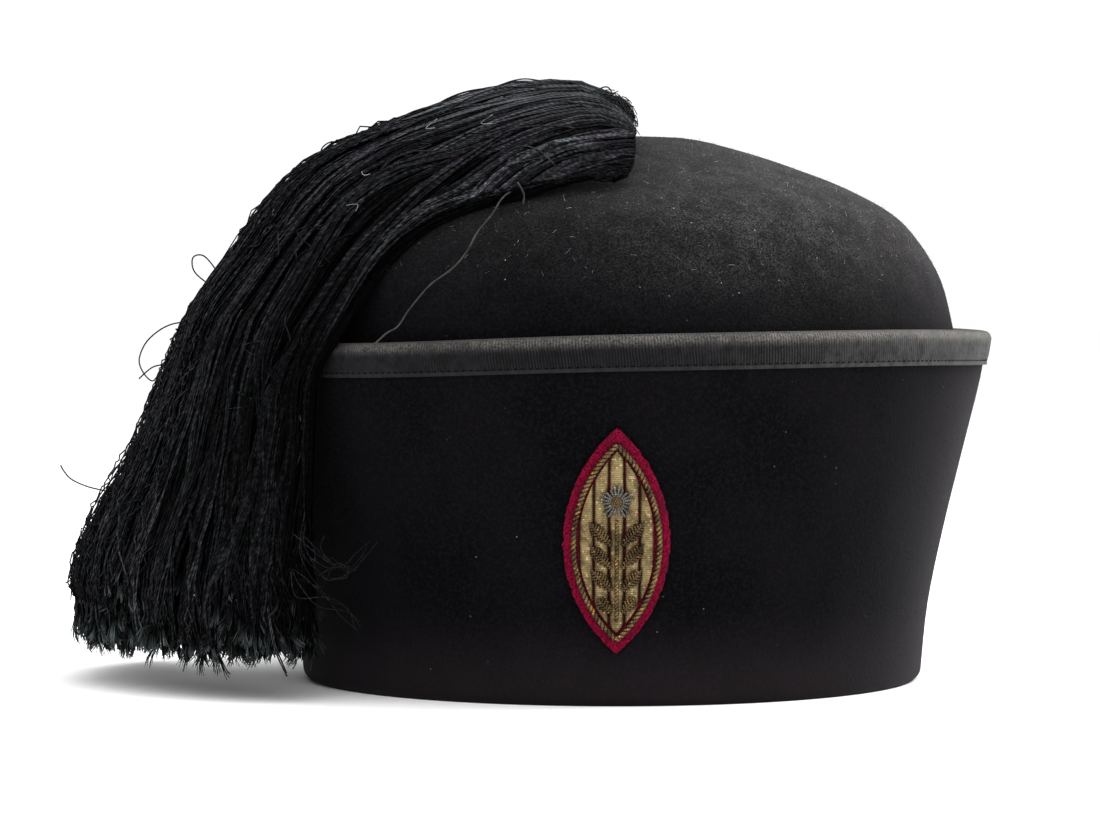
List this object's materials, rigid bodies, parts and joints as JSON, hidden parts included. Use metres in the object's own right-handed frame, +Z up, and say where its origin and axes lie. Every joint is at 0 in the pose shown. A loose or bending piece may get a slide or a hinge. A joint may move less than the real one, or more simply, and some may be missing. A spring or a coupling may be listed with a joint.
{
  "type": "fez",
  "caption": "Domed black felt fez with a deep turned-up cuff, ribbon-bound edge, loose thread tassel over one side and a wire-embroidered leaf badge on the front.",
  "frame": {"origin": "on the table at the middle of the head opening", "axes": "+Z up from the fold to the crown's tip, -Y to the front where the badge is, -X to the side where the tassel hangs"},
  "size_m": [0.2479, 0.2486, 0.1616],
  "materials": {
    "black_felt": "dense short-napped wool felt, dusty on top",
    "grosgrain_ribbon": "ribbed ribbon, worn along its fold",
    "black_thread": "twisted thread, fluffed at its cut ends",
    "red_felt": "thin crimson felt with a cut edge",
    "laid_gold": "laid metal thread, dulled",
    "twisted_gold": "twisted and coiled metal thread, tarnished",
    "silver_wire": "coiled metal thread, tarnished grey"
  },
  "bodies": {
    "root": {"felt_body": "black_felt", "edge_binding": "grosgrain_ribbon", "tassel": "black_thread", "badge_backing": "red_felt", "badge_ground": "laid_gold", "badge_border": "twisted_gold", "badge_stem": "twisted_gold", "badge_leaf_1": "twisted_gold", "badge_leaf_2": "twisted_gold", "badge_leaf_3": "twisted_gold", "badge_leaf_4": "twisted_gold", "badge_leaf_5": "twisted_gold", "badge_leaf_6": "twisted_gold", "badge_leaf_7": "twisted_gold", "badge_leaf_8": "twisted_gold", "badge_bloom": "silver_wire", "badge_bloom_centre": "twisted_gold"}
  },
  "joints": []
}
